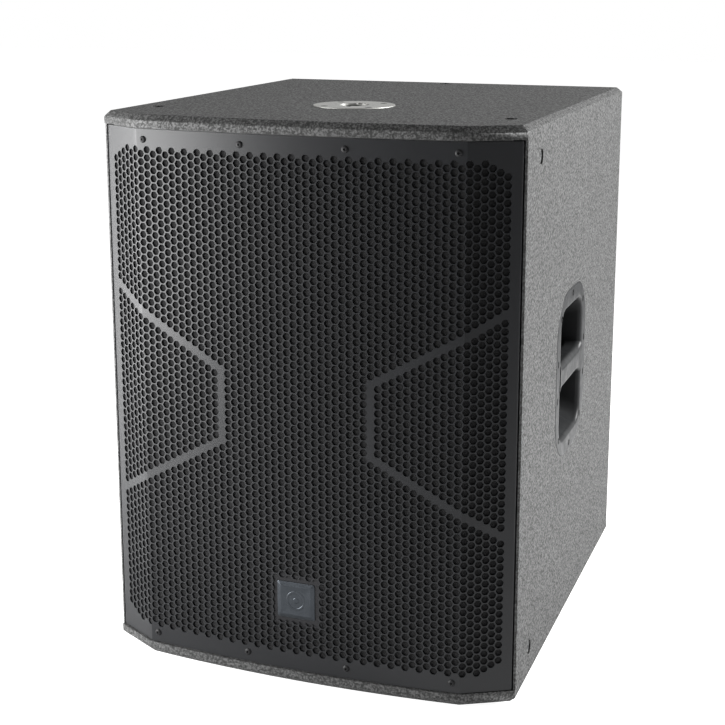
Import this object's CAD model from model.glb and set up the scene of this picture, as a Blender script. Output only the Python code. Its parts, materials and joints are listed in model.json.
"""Looks of the powered subwoofer cabinet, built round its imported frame.

Lengths are in metres. Profiles of turned parts are tables in millimetres, which MM turns into metres.
"""
import json
import math
from functools import partial

import bmesh
import bpy
import numpy as np
from mathutils import Matrix, Vector
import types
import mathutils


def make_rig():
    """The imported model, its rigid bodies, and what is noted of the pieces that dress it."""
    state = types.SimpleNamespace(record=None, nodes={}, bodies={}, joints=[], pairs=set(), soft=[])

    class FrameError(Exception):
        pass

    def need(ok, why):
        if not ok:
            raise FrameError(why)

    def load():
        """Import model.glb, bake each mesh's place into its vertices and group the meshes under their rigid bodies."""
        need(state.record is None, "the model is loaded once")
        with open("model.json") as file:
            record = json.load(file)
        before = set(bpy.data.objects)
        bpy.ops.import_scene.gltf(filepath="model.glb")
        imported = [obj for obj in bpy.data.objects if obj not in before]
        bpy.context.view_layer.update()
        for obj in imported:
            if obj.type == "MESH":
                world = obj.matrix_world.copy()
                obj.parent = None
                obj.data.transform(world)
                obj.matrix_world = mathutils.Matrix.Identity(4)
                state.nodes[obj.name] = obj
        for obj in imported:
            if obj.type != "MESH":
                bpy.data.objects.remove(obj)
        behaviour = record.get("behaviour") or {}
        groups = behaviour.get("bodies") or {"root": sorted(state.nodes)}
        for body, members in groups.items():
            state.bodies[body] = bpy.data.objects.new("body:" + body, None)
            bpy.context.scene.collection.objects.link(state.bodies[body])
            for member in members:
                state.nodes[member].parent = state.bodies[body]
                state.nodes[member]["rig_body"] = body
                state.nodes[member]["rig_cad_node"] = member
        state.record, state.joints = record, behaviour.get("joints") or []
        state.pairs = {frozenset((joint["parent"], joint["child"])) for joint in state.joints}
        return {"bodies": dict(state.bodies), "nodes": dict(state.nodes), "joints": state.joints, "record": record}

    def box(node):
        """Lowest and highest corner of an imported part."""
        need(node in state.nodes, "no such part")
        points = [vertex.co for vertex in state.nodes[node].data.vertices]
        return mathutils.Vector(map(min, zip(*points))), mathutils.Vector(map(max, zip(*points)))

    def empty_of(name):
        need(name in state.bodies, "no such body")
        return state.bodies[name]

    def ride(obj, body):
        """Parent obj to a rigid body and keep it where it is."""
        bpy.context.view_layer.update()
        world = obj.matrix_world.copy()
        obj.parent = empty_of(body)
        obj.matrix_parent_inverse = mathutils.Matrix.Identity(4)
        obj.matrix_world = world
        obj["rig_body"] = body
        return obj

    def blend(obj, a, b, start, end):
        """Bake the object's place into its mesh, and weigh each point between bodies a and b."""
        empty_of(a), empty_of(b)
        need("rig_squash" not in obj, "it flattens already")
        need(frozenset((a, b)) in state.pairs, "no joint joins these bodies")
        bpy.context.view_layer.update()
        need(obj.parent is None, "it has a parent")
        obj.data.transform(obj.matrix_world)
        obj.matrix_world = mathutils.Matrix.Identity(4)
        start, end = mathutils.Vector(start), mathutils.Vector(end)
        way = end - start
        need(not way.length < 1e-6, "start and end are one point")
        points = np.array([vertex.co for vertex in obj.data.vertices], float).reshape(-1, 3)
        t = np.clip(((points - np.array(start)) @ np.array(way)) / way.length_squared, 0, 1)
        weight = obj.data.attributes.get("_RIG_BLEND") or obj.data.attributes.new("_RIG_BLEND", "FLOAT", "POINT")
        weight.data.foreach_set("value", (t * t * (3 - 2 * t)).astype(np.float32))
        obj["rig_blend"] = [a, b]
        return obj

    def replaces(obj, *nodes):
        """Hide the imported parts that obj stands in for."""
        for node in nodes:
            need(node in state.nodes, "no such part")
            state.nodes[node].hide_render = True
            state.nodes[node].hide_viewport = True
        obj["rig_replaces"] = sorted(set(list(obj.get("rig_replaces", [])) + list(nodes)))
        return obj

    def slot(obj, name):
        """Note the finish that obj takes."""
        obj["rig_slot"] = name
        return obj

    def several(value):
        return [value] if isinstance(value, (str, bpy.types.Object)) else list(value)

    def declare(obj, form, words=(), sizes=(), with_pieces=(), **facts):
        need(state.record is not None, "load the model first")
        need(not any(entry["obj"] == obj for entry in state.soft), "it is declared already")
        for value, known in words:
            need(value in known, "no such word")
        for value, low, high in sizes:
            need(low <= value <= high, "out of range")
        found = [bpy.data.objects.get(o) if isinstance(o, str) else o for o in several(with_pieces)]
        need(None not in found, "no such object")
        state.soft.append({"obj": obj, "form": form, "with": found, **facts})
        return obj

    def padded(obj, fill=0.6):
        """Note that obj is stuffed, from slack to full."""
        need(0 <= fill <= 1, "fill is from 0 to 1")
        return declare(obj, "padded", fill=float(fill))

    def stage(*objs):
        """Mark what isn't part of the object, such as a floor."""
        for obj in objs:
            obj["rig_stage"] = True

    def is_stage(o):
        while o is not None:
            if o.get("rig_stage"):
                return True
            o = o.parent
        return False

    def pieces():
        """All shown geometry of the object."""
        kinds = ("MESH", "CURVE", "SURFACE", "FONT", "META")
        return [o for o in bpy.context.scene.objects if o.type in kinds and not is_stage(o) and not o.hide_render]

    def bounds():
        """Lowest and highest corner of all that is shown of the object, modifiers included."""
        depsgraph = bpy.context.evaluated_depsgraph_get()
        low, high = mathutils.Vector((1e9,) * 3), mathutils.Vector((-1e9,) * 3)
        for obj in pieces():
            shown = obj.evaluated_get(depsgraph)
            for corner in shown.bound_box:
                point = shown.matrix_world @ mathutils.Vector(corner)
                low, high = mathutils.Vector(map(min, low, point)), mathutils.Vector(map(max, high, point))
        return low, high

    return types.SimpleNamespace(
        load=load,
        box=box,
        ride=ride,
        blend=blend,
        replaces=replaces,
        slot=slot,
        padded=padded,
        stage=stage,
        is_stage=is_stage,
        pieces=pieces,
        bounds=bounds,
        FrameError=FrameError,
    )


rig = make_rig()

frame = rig.load()
cad_low, cad_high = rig.bounds()
scene = bpy.context.scene


# ---- sizes ----

MM = 0.001
SIDE_LOW, SIDE_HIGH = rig.box("right_side_panel")
TOP_LOW, TOP_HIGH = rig.box("top_panel")
GRILLE_LOW, GRILLE_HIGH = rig.box("front_grille")
HALF_W = SIDE_HIGH.x
BACK_Y = TOP_HIGH.y
TOP_Z = TOP_HIGH.z
MID_Z = (SIDE_LOW.z + SIDE_HIGH.z) / 2
BULGE = 11 * MM  # the front's middle stands this far before its bend lines
BEND_X = 194.3 * MM  # bend lines of the front, either side of the middle
CORNER_SETBACK = 30.4 * MM  # the front's outer edges lie this far behind the bend lines
FRONT_R = (BEND_X**2 + BULGE**2) / (2 * BULGE)
FACET_ANGLE = math.atan(CORNER_SETBACK / (HALF_W - BEND_X))
APEX_Y = TOP_LOW.y
BEND_Y = APEX_Y + BULGE


# ---- node trees ----

def operator(operation, swapped=False):
    """Method of a wire that feeds it, and any other values, to one maths node."""
    def apply(wire, *others):
        values = (*others, wire) if swapped else (wire, *others)
        return wire.net.make("ShaderNodeMath", dict(enumerate(values)), operation=operation)
    return apply


class Wire:
    """One output of a node tree, with the arithmetic that patterns are written in."""

    def __init__(self, net, socket):
        self.net = net
        self.socket = socket

    __add__ = __radd__ = operator("ADD")
    __mul__ = __rmul__ = operator("MULTIPLY")
    __sub__ = operator("SUBTRACT")
    __rsub__ = operator("SUBTRACT", swapped=True)
    __truediv__ = operator("DIVIDE")
    __mod__ = operator("FLOORED_MODULO")
    __lt__ = operator("LESS_THAN")
    __gt__ = operator("GREATER_THAN")
    __abs__ = operator("ABSOLUTE")
    floor = operator("FLOOR")
    lower = operator("MINIMUM")
    higher = operator("MAXIMUM")
    sine = operator("SINE")


class Net:
    """Makes the nodes of one tree."""

    def __init__(self, tree):
        self.tree = tree

    def make(self, kind, values=None, out=0, **settings):
        """Adds a node: its settings first, then the values or wires of its inputs."""
        node = self.tree.nodes.new(kind)
        for name, value in settings.items():
            if name == "stops":
                self.set_stops(node.color_ramp, value)
            else:
                setattr(node, name, value)
        for name, value in (values or {}).items():
            if isinstance(value, Wire):
                self.tree.links.new(value.socket, node.inputs[name])
            else:
                node.inputs[name].default_value = value
        return Wire(self, node.outputs[out]) if len(node.outputs) else node

    def set_stops(self, ramp, stops):
        """Gives a colour ramp its (place, colour) stops."""
        for i, (place, value) in enumerate(stops):
            stop = ramp.elements[i] if i < 2 else ramp.elements.new(place)
            stop.position = place
            stop.color = colour(value)

    def place(self, stretch=None):
        """Object coordinates, stretched along each axis."""
        coords = self.make("ShaderNodeTexCoord", out="Object")
        if stretch is None:
            return coords
        return self.make("ShaderNodeMapping", {"Vector": coords, "Scale": stretch})

    def axis(self, name):
        """One of the object coordinates X, Y and Z."""
        return self.make("ShaderNodeSeparateXYZ", {0: self.place()}, out=name)

    def noise(self, size, detail=2, at=None, rough=0.5):
        """Soft noise whose features are about size across."""
        return self.make("ShaderNodeTexNoise", {
            "Vector": at or self.place(), "Scale": 1 / size, "Detail": detail, "Roughness": rough})

    def cells(self, size, feature="F1", distance="EUCLIDEAN", randomness=1.0):
        """Distance inside cells that are about size across."""
        return self.make("ShaderNodeTexVoronoi", {
            "Vector": self.place(), "Scale": 1 / size, "Randomness": randomness},
            out="Distance", feature=feature, distance=distance)

    def ramp(self, factor, *stops):
        """Colour ramp with (place, colour) stops."""
        return self.make("ShaderNodeValToRGB", {0: factor}, stops=stops)

    def spread(self, value, low, high, new_low=0.0, new_high=1.0):
        """Moves the range low..high of a value to new_low..new_high."""
        return self.make("ShaderNodeMapRange", {0: value, 1: low, 2: high, 3: new_low, 4: new_high})

    def mixed(self, factor, first, second):
        """Mixes two colours."""
        values = {0: factor, 6: colour(first), 7: colour(second)}
        return self.make("ShaderNodeMix", values, out=2, data_type="RGBA")

    def drifted(self, size, dark, base):
        """A base colour with soft patches, about size across, of a darker share of it."""
        return self.mixed(self.spread(self.noise(size), 0.3, 0.7), [c * dark for c in base], base)

    def bump(self, height, depth, strength=1.0):
        """Surface normal of a relief."""
        return self.make("ShaderNodeBump", {"Height": height, "Distance": depth, "Strength": strength})


def colour(value):
    """A grey level, three numbers or a wire, as a colour input wants it."""
    if isinstance(value, Wire):
        return value
    if hasattr(value, "__len__"):
        return (*value, 1)
    return (value, value, value, 1)


def cleared_net(owner):
    """Net of a world's or a material's empty node tree."""
    owner.use_nodes = True
    owner.node_tree.nodes.clear()
    return Net(owner.node_tree)


def finish_of(name, recipe):
    """Material whose shader inputs are what recipe(net) returns."""
    material = bpy.data.materials.new(name)
    net = cleared_net(material)
    shader = net.make("ShaderNodeBsdfPrincipled", recipe(net))
    net.make("ShaderNodeOutputMaterial", {"Surface": shader})
    return material


# ---- finishes ----

def textured_paint(net, base, fleck):
    """Sprayed paint with a coarse grain whose crests catch the light."""
    grain = net.cells(2.8 * MM, feature="SMOOTH_F1")
    crest = net.spread(net.noise(1.9 * MM, 3) - grain * 0.5, 0.12, 0.42)
    body = net.drifted(60 * MM, 0.88, base)
    return {
        "Base Color": net.mixed(crest, net.mixed(0.5, body, 0.0), net.mixed(crest, body, fleck)),
        "Roughness": net.spread(crest, 0, 1, 0.75, 0.55),
        "Specular IOR Level": 0.14,
        "Normal": net.bump(crest, 0.3 * MM, 0.36),
    }


def satin_coat(net, base, rough, level, grain=0.5):
    """Thin powder coat: a faint pebble (grain in mm) under an even satin gloss."""
    pebble = net.noise(grain * MM, 2)
    return {
        "Base Color": net.drifted(45 * MM, 0.85, base),
        "Roughness": net.spread(pebble, 0.3, 0.7, rough - 0.03, rough + 0.05),
        "Specular IOR Level": level,
        "Normal": net.bump(pebble, 0.02 * MM, 0.5),
    }


def moulded(net, base, rough, grain=0.35, level=0.5):
    """Moulded plastic or rubber with a spark-eroded grain (in mm) and faint rubbed patches."""
    rub = net.spread(net.noise(14 * MM, 3), 0.45, 0.75)
    return {
        "Base Color": net.mixed(rub * 0.35, base, [c * 1.5 + 0.004 for c in base]),
        "Roughness": net.spread(rub, 0, 1, rough + 0.05, rough - 0.07),
        "Specular IOR Level": level,
        "Normal": net.bump(net.cells(grain * MM), 0.03 * MM, 0.4),
    }


def bare_metal(net, base, rough, stretch=None, grain=0.6, marks=0.25):
    """Metal with brushed or cast grain (in mm) and slight tarnish."""
    lines = net.noise(grain * MM, 3, net.place(stretch))
    stain = net.spread(net.noise(9 * MM, 4), 0.4, 0.75)
    return {
        "Base Color": net.mixed(stain * marks, base, [c * 0.6 for c in base]),
        "Metallic": 1.0,
        "Roughness": net.spread(lines, 0.25, 0.75, rough - 0.06, rough + 0.12),
        "Normal": net.bump(lines, 0.02 * MM, 0.35),
    }


def socket_metal(net):
    """Pale cast flange whose bore is blackened."""
    values = bare_metal(net, (0.22, 0.22, 0.21), 0.48, (1, 0.15, 1), 0.7)
    sunk = net.axis("Z") < TOP_Z - 1.5 * MM
    values["Base Color"] = net.mixed(sunk, values["Base Color"], 0.01)
    values["Metallic"] = 1 - sunk
    return values


def open_foam(net, base):
    """Open-cell foam: pores darker than the strands between them."""
    strands = net.spread(net.cells(1.1 * MM), 0.15, 0.6)
    patch = net.noise(5 * MM, 3)
    pale = net.mixed(net.spread(patch, 0.35, 0.65), [c * 0.8 for c in base], base)
    return {
        "Base Color": net.mixed(strands, net.mixed(0.55, pale, 0.0), pale),
        "Roughness": 0.95,
        "Specular IOR Level": 0.15,
        "Normal": net.bump(strands, 0.3 * MM, 0.8),
    }


def plywood(net):
    """Bare birch: growth bands and short pores along the sheet."""
    bands = net.noise(16 * MM, 4, net.place((1, 0.12, 1)), 0.6)
    pores = net.spread(net.noise(1.2 * MM, 2, net.place((1, 0.06, 1))), 0.62, 0.7)
    wood = net.ramp(bands, (0.3, (0.36, 0.23, 0.12)), (0.5, (0.52, 0.37, 0.21)),
                    (0.7, (0.6, 0.45, 0.28)))

    return {
        "Base Color": net.mixed(pores * 0.6, wood, (0.2, 0.11, 0.05)),
        "Roughness": net.spread(bands, 0.3, 0.7, 0.55, 0.75),
        "Normal": net.bump(bands - pores * 0.5, 0.1 * MM, 0.5),
    }


def stained_wood(net):
    """Black stain through which the grain still shows."""
    bands = net.noise(9 * MM, 4, net.place((1, 1, 0.1)), 0.65)
    return {
        "Base Color": net.ramp(bands, (0.3, 0.014), (0.7, 0.045)),
        "Roughness": net.spread(bands, 0.3, 0.7, 0.5, 0.7),
        "Normal": net.bump(bands, 0.12 * MM, 0.5),
    }


def fleece(net):
    """Tangled pale fibres with loose tufts."""
    fibres = net.noise(1.4 * MM, 5, net.place((1, 1, 0.5)), 0.7)
    tufts = net.noise(12 * MM, 3)
    return {
        "Base Color": net.ramp(fibres * 0.6 + tufts * 0.4, (0.3, (0.44, 0.43, 0.4)),
                               (0.65, (0.74, 0.73, 0.69))),
        "Roughness": 0.95,
        "Sheen Weight": 0.3,
        "Normal": net.bump(fibres + tufts, 0.6 * MM, 0.7),
    }


def pressed_paper(net, base):
    """Coated paper pulp with flecks of fibre."""
    pulp = net.noise(2.2 * MM, 5, rough=0.65)
    fleck = net.spread(net.cells(1.3 * MM), 0.05, 0.3)
    body = net.mixed(pulp, [c * 0.7 for c in base], base)
    return {
        "Base Color": net.mixed(fleck, [c * 2.1 for c in base], body),
        "Roughness": net.spread(pulp, 0.3, 0.7, 0.5, 0.68),
        "Normal": net.bump(pulp, 0.12 * MM, 0.6),
    }


def woven(net, base):
    """Plain weave of two threads, from crossed waves."""
    turn = math.tau / (0.9 * MM)
    wave = (net.axis("X") * turn).sine() * (net.axis("Z") * turn).sine()
    weave = net.spread(wave, -1, 1)
    return {
        "Base Color": net.mixed(weave, [c * 0.6 for c in base], base),
        "Roughness": 0.8,
        "Normal": net.bump(weave, 0.15 * MM, 0.7),
    }


def windings(net):
    """Enamelled wire in even turns round the coil."""
    turns = abs((net.axis("Y") * (math.pi / (0.45 * MM))).sine())

    return {
        "Base Color": net.mixed(turns, (0.2, 0.06, 0.02), (0.72, 0.32, 0.15)),
        "Metallic": 0.9,
        "Roughness": net.spread(turns, 0, 1, 0.45, 0.28),
        "Normal": net.bump(turns, 0.1 * MM, 0.8),
    }


def circuit_board(net):
    """Solder mask with copper tracks showing faintly through it."""
    square = net.cells(7 * MM, distance="MANHATTAN", randomness=0.4)

    track = net.spread(abs(square * 4 % 1 - 0.5), 0.2, 0.28)
    return {
        "Base Color": net.mixed(track, (0.05, 0.24, 0.09), (0.02, 0.11, 0.045)),
        "Roughness": net.spread(track, 0, 1, 0.3, 0.42),
        "Coat Weight": 0.3,
        "Normal": net.bump(track, 0.05 * MM, 0.6),
    }


def sintered(net):
    """Dark brittle ferrite with pits."""
    pits = net.spread(net.cells(1.6 * MM), 0.06, 0.2)
    return {
        "Base Color": net.mixed(pits, 0.015, net.mixed(net.noise(8 * MM), 0.028, 0.05)),
        "Roughness": net.spread(pits, 0, 1, 0.75, 0.5),
        "Normal": net.bump(pits, 0.15 * MM, 0.6),
    }


def lit_lens(net):
    """Green lens, brighter at its middle."""
    swirl = net.noise(1.2 * MM, 2)
    return {
        "Base Color": net.mixed(swirl, (0.03, 0.3, 0.07), (0.1, 0.6, 0.2)),
        "Roughness": net.spread(swirl, 0.3, 0.7, 0.12, 0.2),
        "Emission Color": net.mixed(swirl, (0.02, 0.3, 0.05), (0.1, 0.7, 0.2)),
        "Emission Strength": 0.25,
        "Coat Weight": 0.5,
    }


PAINT = (0.034, 0.0345, 0.034)
STEEL = (0.006, 0.0064, 0.0074)

# Each slot: the recipe of its finish, and the CAD nodes that wear it.
SLOTS = {
    "textured_paint": (partial(textured_paint, base=PAINT, fleck=0.07),
        "top_panel bottom_panel left_side_panel right_side_panel"),
    "black_wood": (stained_wood, "rear_panel front_baffle grille_battens"),
    "bare_plywood": (plywood, "port_shelf window_brace glue_cleats"),
    "wadding_fleece": (fleece, "wadding"),
    "grille_steel": (partial(satin_coat, base=STEEL, rough=0.34, level=0.23), "front_grille"),
    "black_foam": (partial(open_foam, base=(0.014, 0.014, 0.0145)),
                   "grille_foam amp_gasket woofer_gasket"),
    "black_screws": (partial(satin_coat, base=(0.010, 0.010, 0.0105), rough=0.5, level=0.12, grain=0.4),
        "grille_screws pole_socket_screws handle_screws woofer_bolts amp_screws"),
    "bright_screws": (partial(bare_metal, base=(0.55, 0.56, 0.57), rough=0.28),
        "foot_screws woofer_tnuts"),
    "black_plastic": (partial(moulded, base=(0.007, 0.007, 0.008), rough=0.42, level=0.16),
        "badge_backing audio_inputs audio_outputs mains_inlet switch_housing"),
    "badge_silver": (partial(bare_metal, base=(0.036, 0.040, 0.045), rough=0.3, stretch=(1, 1, 0.1),
        grain=0.5, marks=0.4), "badge_plate"),
    "pole_metal": (socket_metal, "pole_socket"),
    "handle_plastic": (partial(moulded, base=(0.011, 0.0115, 0.012), rough=0.36, grain=0.5, level=0.1),
        "left_handle right_handle"),
    "rig_steel": (partial(textured_paint, base=(0.07, 0.072, 0.074), fleck=0.14), "rigging_inserts"),
    "black_rubber": (partial(moulded, base=(0.015, 0.015, 0.016), rough=0.65, grain=0.8),
        "rubber_feet surround speaker_cable"),
    "basket_metal": (partial(satin_coat, base=(0.03, 0.032, 0.034), rough=0.45, level=0.5, grain=0.8),
        "woofer_basket"),
    "cone_paper": (partial(pressed_paper, base=(0.022, 0.022, 0.023)), "cone dust_cap"),
    "spider_cloth": (partial(woven, base=(0.42, 0.31, 0.11)), "spider"),
    "former_film": (partial(moulded, base=(0.45, 0.26, 0.10), rough=0.2, grain=2.0), "coil_former"),
    "copper": (windings, "voice_coil transformer"),
    "zinc_steel": (partial(bare_metal, base=(0.22, 0.23, 0.24), rough=0.35, grain=1.5, marks=0.5),
                   "front_plate back_plate control_bodies"),
    "ferrite": (sintered, "magnet"),
    "amp_paint": (partial(satin_coat, base=(0.022, 0.023, 0.025), rough=0.5, level=0.4, grain=1.0),
                  "amp_panel heat_sink"),
    "board_green": (circuit_board, "amp_board"),
    "capacitor_sleeve": (partial(moulded, base=(0.02, 0.05, 0.16), rough=0.25, grain=1.5), "capacitors"),
    "pin_metal": (partial(bare_metal, base=(0.7, 0.58, 0.28), rough=0.22),
                  "connector_pins board_standoffs"),
    "latch_metal": (partial(bare_metal, base=(0.5, 0.51, 0.52), rough=0.25, stretch=(0.2, 1, 1),
        grain=0.5), "upper_latch lower_latch"),
    "rocker_plastic": (partial(moulded, base=(0.3, 0.02, 0.015), rough=0.28),
        "switch_rocker woofer_terminals"),
    "knob_plastic": (partial(moulded, base=(0.03, 0.031, 0.034), rough=0.5, grain=0.6),
        "level_knob crossover_knob"),
    "button_plastic": (partial(moulded, base=(0.55, 0.56, 0.57), rough=0.3), "polarity_button"),
    "light_lens": (lit_lens, "indicator_lights"),
}
FINISHES = {slot: finish_of(slot, recipe) for slot, (recipe, _) in SLOTS.items()}
SLOT_OF = {node: slot for slot, (_, nodes) in SLOTS.items() for node in nodes.split()}
MARKING = finish_of("dial_paint", partial(satin_coat, base=(0.62, 0.62, 0.6), rough=0.5, level=0.4))


def dress(thing, slot):
    """Gives a mesh object the finish of a slot and nothing else."""
    thing.data.materials.clear()
    thing.data.materials.append(FINISHES[slot])


for node_name, node_object in frame["nodes"].items():
    dress(node_object, SLOT_OF[node_name])
    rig.slot(node_object, SLOT_OF[node_name])


# ---- making pieces ----

MERGE = 0.002 * MM  # points closer than this in a CAD mesh are one point
LARGE_MESH = 60000  # faces from which a mesh keeps its plain normals


def body_of(node):
    """Name of the moving body that a CAD node belongs to."""
    return frame["nodes"][node]["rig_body"]


def shade(mesh, angle):
    """Smooth shading that keeps edges sharper than angle (degrees) crisp."""
    mesh.polygons.foreach_set("use_smooth", [True] * len(mesh.polygons))
    mesh.set_sharp_from_angle(angle=math.radians(angle))


def new_object(name, data):
    """Object that is part of the scene."""
    made = bpy.data.objects.new(name, data)
    scene.collection.objects.link(made)
    return made


def baked(thing):
    """Plain mesh of an object with its modifiers applied."""
    return bpy.data.meshes.new_from_object(thing.evaluated_get(bpy.context.evaluated_depsgraph_get()))


def keep_flat(made):
    """Lets broad faces stay flat where narrow rounded edges meet them."""
    weigh = made.modifiers.new("weigh", "WEIGHTED_NORMAL")
    weigh.keep_sharp = True
    weigh.weight = 90
    mesh = baked(made)
    made.modifiers.clear()
    made.data = mesh


def piece(name, mesh, node, angle=35):
    """Finished piece that stands for a CAD node and rides on that node's body."""
    made = new_object(name, mesh)
    if not mesh.materials or mesh.materials[0] is None:
        dress(made, SLOT_OF[node])
    shade(mesh, angle)
    if len(mesh.polygons) < LARGE_MESH:
        keep_flat(made)
    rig.ride(made, body_of(node))
    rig.replaces(made, node)
    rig.slot(made, SLOT_OF[node])
    return made


def painted_mark(name, mesh, node, slot):
    """Mark that rides with a CAD node and stands for none."""
    mesh.materials.clear()
    mesh.materials.append(MARKING)
    made = new_object(name, mesh)
    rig.ride(made, body_of(node))
    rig.slot(made, slot)


def mesh_from(name, points, faces):
    """Plain mesh from points and faces."""
    mesh = bpy.data.meshes.new(name)
    mesh.from_pydata([tuple(p) for p in points], [], [tuple(f) for f in faces])
    mesh.update()
    return mesh


def settled(name, work):
    """Mesh from a bmesh, which is then done with."""
    mesh = bpy.data.meshes.new(name)
    work.to_mesh(mesh)
    work.free()
    return mesh


def sharp(limit=40):
    """Chooser of edges whose faces meet at more than limit degrees."""
    def choose(edge):
        return edge.calc_face_angle(0) > math.radians(limit)
    return choose


def cad_copy(node):
    """Bmesh of a CAD node with its doubled points merged."""
    work = bmesh.new()
    work.from_mesh(frame["nodes"][node].data)
    bmesh.ops.remove_doubles(work, verts=work.verts, dist=MERGE)
    return work


def softened(node, width, choose=sharp(), segments=2):
    """Copy of a CAD node whose chosen sharp edges are rounded by width (mm)."""
    work = cad_copy(node)
    bmesh.ops.dissolve_limit(work, angle_limit=math.radians(0.2), verts=work.verts, edges=work.edges)
    edges = [e for e in work.edges if len(e.link_faces) == 2 and choose(e)]
    bmesh.ops.bevel(work, geom=edges, offset=width * MM, offset_type="OFFSET", segments=segments,
                    profile=0.5, affect="EDGES", clamp_overlap=True)
    name = node + "_finished"
    piece(name, settled(name, work), node)


# ---- geometry nodes ----

def new_tree(name, inputs):
    """Empty geometry tree with named inputs (name: socket kind) and a net to build it with."""
    tree = bpy.data.node_groups.new(name, "GeometryNodeTree")
    tree.interface.new_socket("Geometry", in_out="INPUT", socket_type="NodeSocketGeometry")
    for label, kind in inputs.items():
        tree.interface.new_socket(label, in_out="INPUT", socket_type="NodeSocket" + kind)
    tree.interface.new_socket("Geometry", in_out="OUTPUT", socket_type="NodeSocketGeometry")
    net = Net(tree)
    entry = tree.nodes.new("NodeGroupInput")
    wires = {label: Wire(net, entry.outputs[label]) for label in ["Geometry", *inputs]}
    return tree, net, wires


def close_tree(net, geometry, finish):
    """Ends a tree with Realize Instances and Set Material."""
    solid = net.make("GeometryNodeRealizeInstances", {0: geometry})
    dressed = net.make("GeometryNodeSetMaterial", {0: solid, "Material": finish})
    end = net.tree.nodes.new("NodeGroupOutput")
    net.tree.links.new(dressed.socket, end.inputs[0])


def grown(name, tree, values, start=None):
    """Runs a tree on a start mesh with these inputs and returns the plain mesh that it makes."""
    holder = new_object(name, start or bpy.data.meshes.new(name))
    modifier = holder.modifiers.new(name, "NODES")
    modifier.node_group = tree
    for item in tree.interface.items_tree:
        if item.in_out == "INPUT" and item.name in values:
            modifier[item.identifier] = values[item.name]
    mesh = baked(holder)
    bpy.data.objects.remove(holder)
    mesh.name = name
    return mesh


def copies(net, shape, points, **extra):
    """Instances of an object on points."""
    geometry = net.make("GeometryNodeObjectInfo", {"Object": shape}, out="Geometry")
    return net.make("GeometryNodeInstanceOnPoints", {"Points": points, "Instance": geometry, **extra})


def scatter_tree():
    """Puts a shape on every point, turned by the point's own angles."""
    tree, net, wires = new_tree("scatter", {"Shape": "Object", "Finish": "Material"})
    angles = net.make("GeometryNodeInputNamedAttribute", {"Name": "turn"}, data_type="FLOAT_VECTOR")
    turn = net.make("FunctionNodeEulerToRotation", {0: angles})
    close_tree(net, copies(net, wires["Shape"], wires["Geometry"], Rotation=turn), wires["Finish"])
    return tree


SCATTER = scatter_tree()


def scattered(name, shape_mesh, places, node):
    """Mesh, dressed for a CAD node, with one copy of a shape at each place (a matrix)."""
    points = bpy.data.meshes.new(name + "_points")
    points.from_pydata([tuple(m.translation) for m in places], [], [])
    turns = points.attributes.new("turn", "FLOAT_VECTOR", "POINT")
    turns.data.foreach_set("vector", [a for m in places for a in m.to_euler()])
    shape = new_object(name + "_shape", shape_mesh)
    mesh = grown(name, SCATTER, {"Shape": shape, "Finish": FINISHES[SLOT_OF[node]]}, points)
    bpy.data.objects.remove(shape)
    return mesh


def fittings(name, shape_mesh, places, node):
    """Piece made of one copy of a shape at each place."""
    piece(name, scattered(name, shape_mesh, places, node), node)


def facing(out, at):
    """Place at a point whose +Z looks along out."""
    return Matrix.Translation(at) @ out.to_track_quat("Z", "Y").to_matrix().to_4x4()


# ---- shapes that several pieces share ----

def polar(radius, angle):
    """Point at an angle round the origin."""
    return radius * math.cos(angle), radius * math.sin(angle)


def circle(radius, count=24):
    """Points of a circle, anticlockwise from the right."""
    return [polar(radius, math.tau * i / count) for i in range(count)]


def hexagon(radius, count=24):
    """Hexagon drawn with as many points as a circle, so that it joins one."""
    half_side = math.pi / 6
    ring = []
    for i in range(count):
        angle = math.tau * i / count
        off_corner = abs((angle + half_side) % (2 * half_side) - half_side)
        ring.append(polar(radius * math.cos(half_side) / math.cos(off_corner - half_side), angle))
    return ring


def cross(arm, half_width, count=24):
    """Cross-shaped outline with as many points as a circle."""
    ring, arm_angle = [], 0.3
    for i in range(count):
        angle = math.tau * i / count
        off_arm = abs((angle + math.pi / 4) % (math.pi / 2) - math.pi / 4)
        ring.append(polar(arm if off_arm < arm_angle else half_width * 1.5, angle))
    return ring


def rounded_ring(half_u, half_v, corner, steps=8):
    """Points of a rectangle with round corners, anticlockwise from the right."""
    ring = []
    for u, v, turn in ((1, 1, 0), (-1, 1, 1), (-1, -1, 2), (1, -1, 3)):
        for i in range(steps + 1):
            angle = (turn + i / steps) * math.pi / 2
            ring.append((u * (half_u - corner) + corner * math.cos(angle),
                         v * (half_v - corner) + corner * math.sin(angle)))
    return ring


def level_ring(points, z):
    """Flat outline lifted to a height."""
    return [(x, y, z) for x, y in points]


def turned_rings(profile, count=24):
    """Rings about +Z through (radius, height) points in mm."""
    return [level_ring(circle(r * MM, count), z * MM) for r, z in profile]


def joined_rings(rings, closed):
    """Faces between rings of equally many points: closed joins the last to the first, else caps end them."""
    count = len(rings[0])
    points = [p for ring in rings for p in ring]
    faces = []
    for i in range(len(rings) if closed else len(rings) - 1):
        a, b = i * count, (i + 1) % len(rings) * count
        for j in range(count):
            k = (j + 1) % count
            faces.append((a + j, a + k, b + k, b + j))
    if not closed:
        faces.append(tuple(range(count))[::-1])
        faces.append(tuple((len(rings) - 1) * count + j for j in range(count)))
    return points, faces


def bmesh_from(points, faces, merge=0.0):
    """Bmesh from points and faces, with its faces outwards and points closer than merge joined."""
    work = bmesh.new()
    made = [work.verts.new(p) for p in points]
    for face in faces:
        work.faces.new([made[i] for i in face])
    if merge:
        bmesh.ops.remove_doubles(work, verts=work.verts, dist=merge)
    bmesh.ops.recalc_face_normals(work, faces=work.faces)
    return work


def lofted(rings):
    """Solid bmesh through rings of points, capped at both ends."""
    return bmesh_from(*joined_rings(rings, closed=False), merge=0.001 * MM)


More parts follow.
